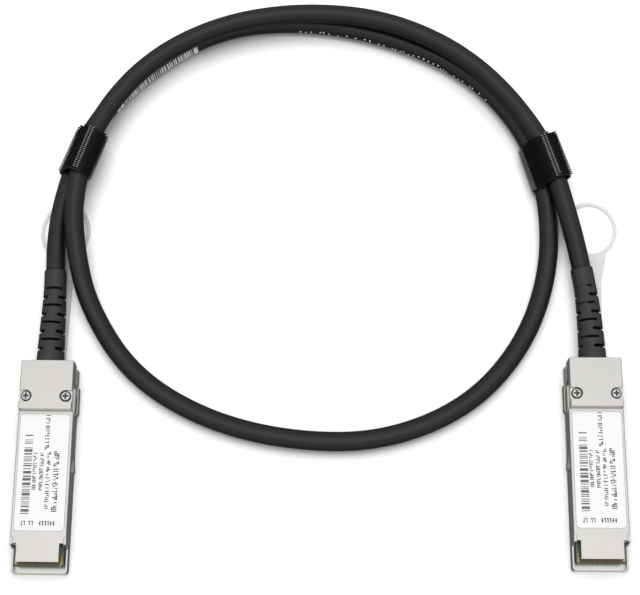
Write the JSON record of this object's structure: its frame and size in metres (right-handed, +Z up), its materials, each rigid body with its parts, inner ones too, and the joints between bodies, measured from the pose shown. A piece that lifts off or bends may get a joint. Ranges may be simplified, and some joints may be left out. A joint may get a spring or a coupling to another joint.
{
  "type": "direct attach copper cable",
  "caption": "Two slim die-cast connector plugs with pull-tab release slides, joined by one round black twinaxial cable looped and tied with hook straps.",
  "frame": {"origin": "on the table under the middle of the two plugs, boots' pull tabs included", "axes": "+X from the left plug to the right plug, +Y from the mating ends towards the cable loop, +Z up from the table"},
  "size_m": [0.2052, 0.2004, 0.0158],
  "materials": {
    "shell": "satin nickel on zinc die-casting",
    "label": "matt white film",
    "screw": "bright nickel",
    "board": "green solder mask",
    "gold": "gold plate",
    "chip": "black moulded package",
    "ceramic": "fired ceramic",
    "lead": "foil-wrapped twinaxial lead",
    "comb": "moulded nylon",
    "ferrule": "tin-plated brass",
    "spring": "music wire",
    "boot": "matt black elastomer",
    "slide": "bright stamped stainless steel",
    "clear_tab": "clear moulded thermoplastic",
    "hook_tape": "black moulded hook tape",
    "jacket": "matt black cable jacket"
  },
  "bodies": {
    "cable_and_plugs": {"cable": "jacket", "left_lower_shell": "shell", "left_upper_shell": "shell", "left_label": "label", "left_screws": "screw", "left_paddle_card": "board", "left_card_contacts": "gold", "left_memory_chip": "chip", "left_coupling_capacitors": "ceramic", "left_twinax_leads": "lead", "left_lead_comb": "comb", "left_crimp_ferrule": "ferrule", "left_return_springs": "spring", "left_boot": "boot", "left_hook_strap": "hook_tape", "right_lower_shell": "shell", "right_upper_shell": "shell", "right_label": "label", "right_screws": "screw", "right_paddle_card": "board", "right_card_contacts": "gold", "right_memory_chip": "chip", "right_coupling_capacitors": "ceramic", "right_twinax_leads": "lead", "right_lead_comb": "comb", "right_crimp_ferrule": "ferrule", "right_return_springs": "spring", "right_boot": "boot", "right_hook_strap": "hook_tape"},
    "left_release": {"left_release_slide": "slide", "left_pull_tab": "clear_tab"},
    "right_release": {"right_release_slide": "slide", "right_pull_tab": "clear_tab"}
  },
  "joints": [
    {"name": "left_release_pull", "type": "slide", "parent": "cable_and_plugs", "child": "left_release", "axis": [0.0112, 0.9999, 0], "range_m": [0, 0.0025], "stiffness_N_per_m": 1500, "springref_m": -0.0005, "deforming": ["left_return_springs"]},
    {"name": "right_release_pull", "type": "slide", "parent": "cable_and_plugs", "child": "right_release", "axis": [0.0047, 1, 0], "range_m": [0, 0.0025], "stiffness_N_per_m": 1500, "springref_m": -0.0005, "deforming": ["right_return_springs"]}
  ]
}
